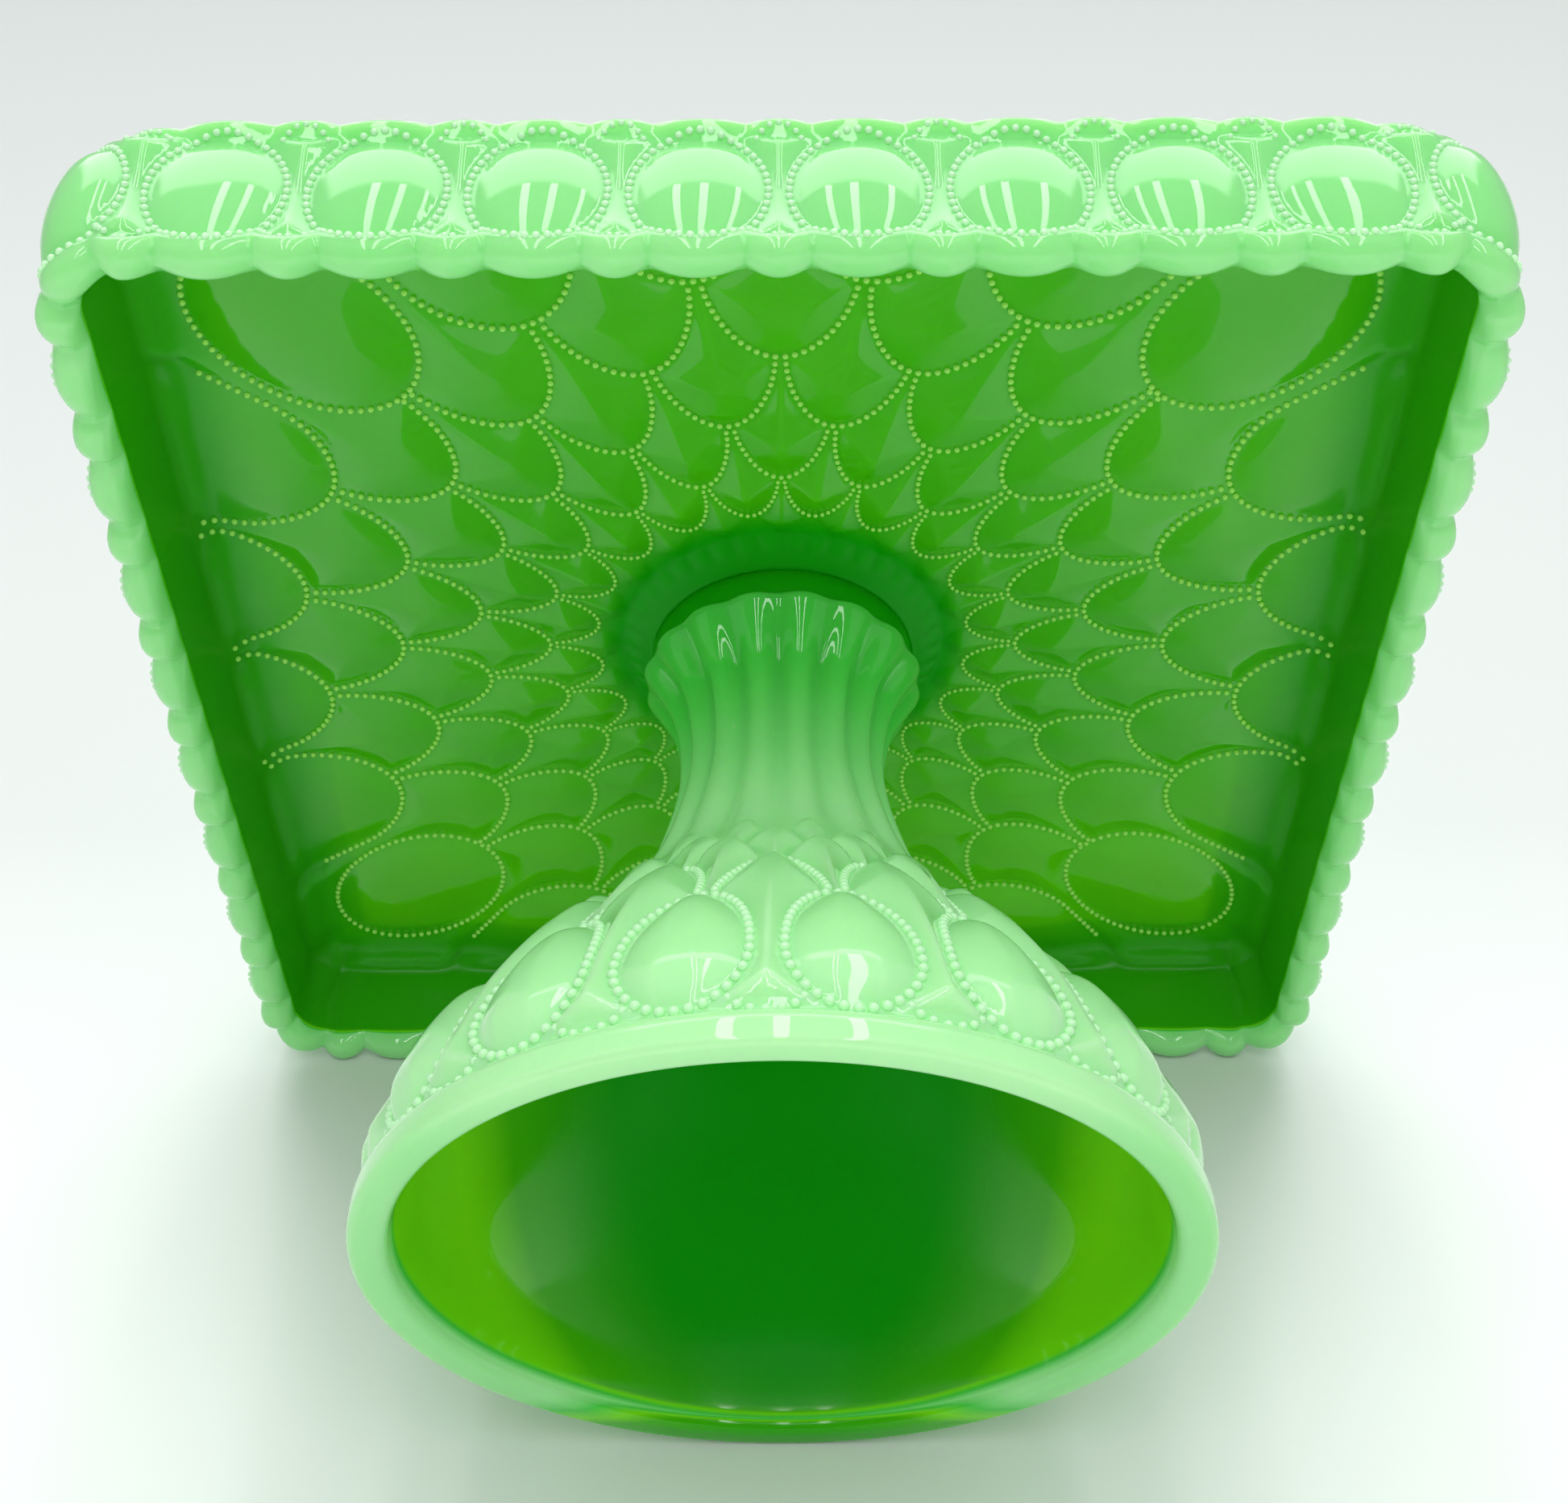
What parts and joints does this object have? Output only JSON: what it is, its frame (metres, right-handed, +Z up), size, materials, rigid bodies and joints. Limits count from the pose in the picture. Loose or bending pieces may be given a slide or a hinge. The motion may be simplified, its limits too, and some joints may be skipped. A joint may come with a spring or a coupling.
{
  "type": "pedestal cake stand",
  "caption": "Square pedestal cake stand in pressed opaque green glass, with a beaded moon border, scaled underside, fluted stem and hollow bell foot.",
  "frame": {"origin": "centre of the foot ring, in the plane that the foot rests on", "axes": "+Z up through the middle of the tray, X and Y along the sides of the square plate"},
  "size_m": [0.2568, 0.2568, 0.1581],
  "materials": {
    "plate_glass": "opaque pressed green glass, fire-polished",
    "wafer_glass": "opaque green glass, fire-polished",
    "pedestal_glass": "opaque pressed green glass, fire-polished"
  },
  "bodies": {
    "root": {"plate": "plate_glass", "wafer": "wafer_glass", "pedestal": "pedestal_glass"}
  },
  "joints": []
}
